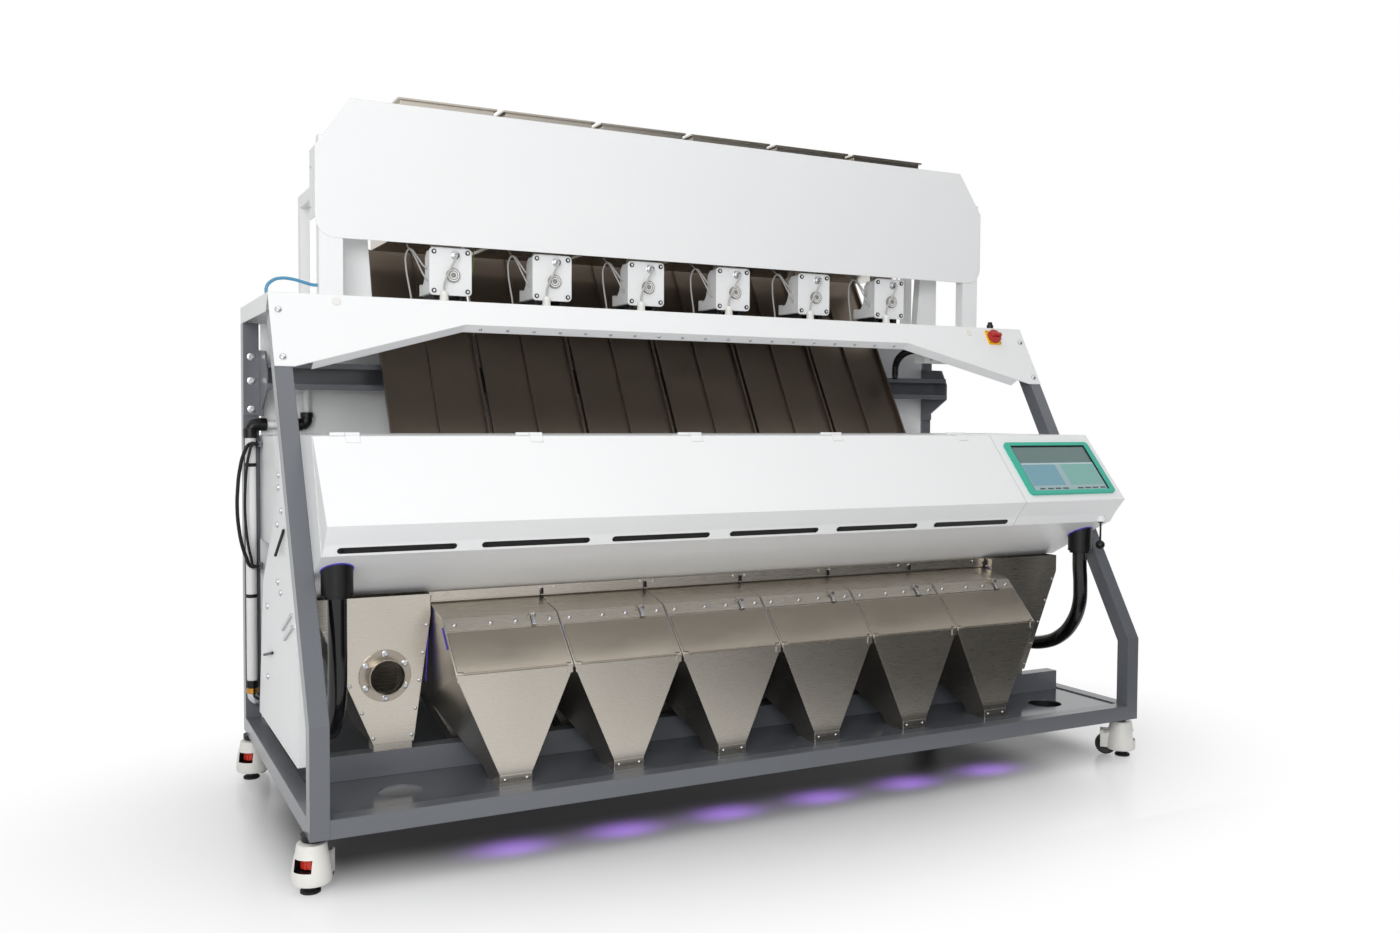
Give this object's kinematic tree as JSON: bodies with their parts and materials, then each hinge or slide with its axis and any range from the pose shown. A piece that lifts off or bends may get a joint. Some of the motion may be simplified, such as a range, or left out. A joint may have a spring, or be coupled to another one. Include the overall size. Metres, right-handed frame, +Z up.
{
  "type": "optical colour sorter",
  "caption": "Optical grain sorter: feed bins and vibrating feeders over inclined chutes, a hinged optics cover with a touch screen, split stainless outlets and a frame on levelling casters",
  "frame": {"origin": "on the floor, under the middle of the machine's box", "axes": "+X along the row of chutes to the operator's end, the front faces -Y, +Z up"},
  "size_m": [2.9452, 1.252, 2.217],
  "materials": {
    "frame_paint": "satin powder coat, dark grey",
    "white_paint": "smooth powder coat, white",
    "stainless": "brushed stainless sheet",
    "bolt_steel": "plated fasteners",
    "anodised": "dark hard-anodised, satin",
    "bare_aluminium": "milled",
    "black_metal": "matt black paint",
    "black_plastic": "moulded black",
    "white_plastic": "moulded white",
    "pipe_plastic": "white plastic pipe with black couplings",
    "teal_plastic": "moulded teal",
    "red_plastic": "moulded red",
    "yellow_plastic": "moulded yellow",
    "black_rubber": "matt black rubber",
    "screen_glass": "display with a dim lit picture"
  },
  "bodies": {
    "machine": {"front_legs": "frame_paint", "rear_posts": "frame_paint", "base_rails": "frame_paint", "base_deck": "frame_paint", "caster_cups": "black_plastic", "bridge_beam": "white_paint", "feed_deck": "white_paint", "chute_beam": "frame_paint", "hopper_fascia": "white_paint", "hopper_frame": "white_paint", "feed_bins": "stainless", "feeder_drives": "white_paint", "sorting_chutes": "anodised", "optics_box": "white_paint", "console_cover": "white_paint", "screen_bezel": "teal_plastic", "touch_screen": "screen_glass", "outlet_chutes": "stainless", "outlet_rail": "stainless", "end_funnels": "stainless", "dust_port": "stainless", "rear_cabinet": "white_paint", "side_panel": "white_paint", "ejector_bank": "bare_aluminium", "optics_modules": "black_metal", "hose_collars": "black_plastic", "extraction_hoses": "black_rubber", "air_line": "pipe_plastic", "service_cables": "black_rubber", "isolator_plate": "yellow_plastic", "frame_bolts": "bolt_steel"},
    "feeder_trays": {"feeder_trays": "stainless"},
    "optics_cover": {"optics_cover": "white_paint"},
    "rear_cover": {"rear_cover": "white_paint"},
    "release_knob": {"release_knob": "black_plastic"},
    "isolator_knob": {"isolator_knob": "red_plastic"},
    "sample_door_1": {"sample_door_1": "stainless"},
    "sample_door_2": {"sample_door_2": "stainless"},
    "sample_door_3": {"sample_door_3": "stainless"},
    "sample_door_4": {"sample_door_4": "stainless"},
    "sample_door_5": {"sample_door_5": "stainless"},
    "sample_door_6": {"sample_door_6": "stainless"},
    "door_latch_1": {"door_latch_1": "stainless"},
    "door_latch_2": {"door_latch_2": "stainless"},
    "door_latch_3": {"door_latch_3": "stainless"},
    "door_latch_4": {"door_latch_4": "stainless"},
    "door_latch_5": {"door_latch_5": "stainless"},
    "door_latch_6": {"door_latch_6": "stainless"},
    "caster_body_1": {"caster_body_1": "white_plastic"},
    "caster_body_2": {"caster_body_2": "white_plastic"},
    "caster_body_3": {"caster_body_3": "white_plastic"},
    "caster_body_4": {"caster_body_4": "white_plastic"},
    "caster_wheel_1": {"caster_wheel_1": "black_rubber"},
    "caster_wheel_2": {"caster_wheel_2": "black_rubber"},
    "caster_wheel_3": {"caster_wheel_3": "black_rubber"},
    "caster_wheel_4": {"caster_wheel_4": "black_rubber"},
    "level_dial_1": {"level_dial_1": "red_plastic"},
    "level_dial_2": {"level_dial_2": "red_plastic"},
    "level_dial_3": {"level_dial_3": "red_plastic"},
    "level_dial_4": {"level_dial_4": "red_plastic"}
  },
  "joints": [
    {"name": "optics_cover_hinge", "type": "hinge", "parent": "machine", "child": "optics_cover", "pos_m": [0, -0.4, 1.165], "axis": [-1, 0, 0], "range_deg": [0, 70]},
    {"name": "rear_cover_hinge", "type": "hinge", "parent": "machine", "child": "rear_cover", "pos_m": [0, 0.58, 1.15], "axis": [1, 0, 0], "range_deg": [0, 80]},
    {"name": "feeder_vibration", "type": "slide", "parent": "machine", "child": "feeder_trays", "axis": [0, 1, 0], "range_m": [-0.001, 0.001], "stiffness_N_per_m": 60000},
    {"name": "release_knob_push", "type": "slide", "parent": "machine", "child": "release_knob", "axis": [0, 0, 1], "range_m": [-0.01, 0], "stiffness_N_per_m": 600, "springref_m": 0.004},
    {"name": "isolator_turn", "type": "hinge", "parent": "machine", "child": "isolator_knob", "pos_m": [1.278, -0.01354, 1.53905], "axis": [0, -0.8712, 0.4909], "range_deg": [-90, 0]},
    {"name": "sample_door_hinge_1", "type": "hinge", "parent": "machine", "child": "sample_door_1", "pos_m": [-0.8625, -0.53193, 0.51322], "axis": [1, 0, 0], "range_deg": [0, 170]},
    {"name": "door_latch_pivot_1", "type": "hinge", "parent": "machine", "child": "door_latch_1", "pos_m": [-0.7705, -0.4027, 0.64431], "axis": [-1, 0, 0], "range_deg": [0, 90]},
    {"name": "sample_door_hinge_2", "type": "hinge", "parent": "machine", "child": "sample_door_2", "pos_m": [-0.5175, -0.53193, 0.51322], "axis": [1, 0, 0], "range_deg": [0, 170]},
    {"name": "door_latch_pivot_2", "type": "hinge", "parent": "machine", "child": "door_latch_2", "pos_m": [-0.4255, -0.4027, 0.64431], "axis": [-1, 0, 0], "range_deg": [0, 90]},
    {"name": "sample_door_hinge_3", "type": "hinge", "parent": "machine", "child": "sample_door_3", "pos_m": [-0.1725, -0.53193, 0.51322], "axis": [1, 0, 0], "range_deg": [0, 170]},
    {"name": "door_latch_pivot_3", "type": "hinge", "parent": "machine", "child": "door_latch_3", "pos_m": [-0.0805, -0.4027, 0.64431], "axis": [-1, 0, 0], "range_deg": [0, 90]},
    {"name": "sample_door_hinge_4", "type": "hinge", "parent": "machine", "child": "sample_door_4", "pos_m": [0.1725, -0.53193, 0.51322], "axis": [1, 0, 0], "range_deg": [0, 170]},
    {"name": "door_latch_pivot_4", "type": "hinge", "parent": "machine", "child": "door_latch_4", "pos_m": [0.2645, -0.4027, 0.64431], "axis": [-1, 0, 0], "range_deg": [0, 90]},
    {"name": "sample_door_hinge_5", "type": "hinge", "parent": "machine", "child": "sample_door_5", "pos_m": [0.5175, -0.53193, 0.51322], "axis": [1, 0, 0], "range_deg": [0, 170]},
    {"name": "door_latch_pivot_5", "type": "hinge", "parent": "machine", "child": "door_latch_5", "pos_m": [0.6095, -0.4027, 0.64431], "axis": [-1, 0, 0], "range_deg": [0, 90]},
    {"name": "sample_door_hinge_6", "type": "hinge", "parent": "machine", "child": "sample_door_6", "pos_m": [0.8625, -0.53193, 0.51322], "axis": [1, 0, 0], "range_deg": [0, 170]},
    {"name": "door_latch_pivot_6", "type": "hinge", "parent": "machine", "child": "door_latch_6", "pos_m": [0.9545, -0.4027, 0.64431], "axis": [-1, 0, 0], "range_deg": [0, 90]},
    {"name": "caster_swivel_1", "type": "hinge", "parent": "machine", "child": "caster_body_1", "pos_m": [-1.411, -0.554, 0.128], "axis": [0, 0, 1], "continuous": true},
    {"name": "caster_roll_1", "type": "hinge", "parent": "caster_body_1", "child": "caster_wheel_1", "pos_m": [-1.38691, -0.52725, 0.039], "axis": [0.7431, -0.6691, 0], "continuous": true},
    {"name": "level_dial_turn_1", "type": "hinge", "parent": "caster_body_1", "child": "level_dial_1", "pos_m": [-1.42572, -0.57035, 0.077], "axis": [0, 0, 1], "continuous": true},
    {"name": "caster_swivel_2", "type": "hinge", "parent": "machine", "child": "caster_body_2", "pos_m": [1.411, -0.554, 0.128], "axis": [0, 0, 1], "continuous": true},
    {"name": "caster_roll_2", "type": "hinge", "parent": "caster_body_2", "child": "caster_wheel_2", "pos_m": [1.38554, -0.52854, 0.039], "axis": [0.7071, 0.7071, 0], "continuous": true},
    {"name": "level_dial_turn_2", "type": "hinge", "parent": "caster_body_2", "child": "level_dial_2", "pos_m": [1.42656, -0.56956, 0.077], "axis": [0, 0, 1], "continuous": true},
    {"name": "caster_swivel_3", "type": "hinge", "parent": "machine", "child": "caster_body_3", "pos_m": [-1.411, 0.552, 0.128], "axis": [0, 0, 1], "continuous": true},
    {"name": "caster_roll_3", "type": "hinge", "parent": "caster_body_3", "child": "caster_wheel_3", "pos_m": [-1.38884, 0.58037, 0.039], "axis": [0.788, -0.6157, 0], "continuous": true},
    {"name": "level_dial_turn_3", "type": "hinge", "parent": "caster_body_3", "child": "level_dial_3", "pos_m": [-1.42454, 0.53466, 0.077], "axis": [0, 0, 1], "continuous": true},
    {"name": "caster_swivel_4", "type": "hinge", "parent": "machine", "child": "caster_body_4", "pos_m": [1.411, 0.552, 0.128], "axis": [0, 0, 1], "continuous": true},
    {"name": "caster_roll_4", "type": "hinge", "parent": "caster_body_4", "child": "caster_wheel_4", "pos_m": [1.38786, 0.57958, 0.039], "axis": [0.766, 0.6428, 0], "continuous": true},
    {"name": "level_dial_turn_4", "type": "hinge", "parent": "caster_body_4", "child": "level_dial_4", "pos_m": [1.42514, 0.53515, 0.077], "axis": [0, 0, 1], "continuous": true}
  ]
}
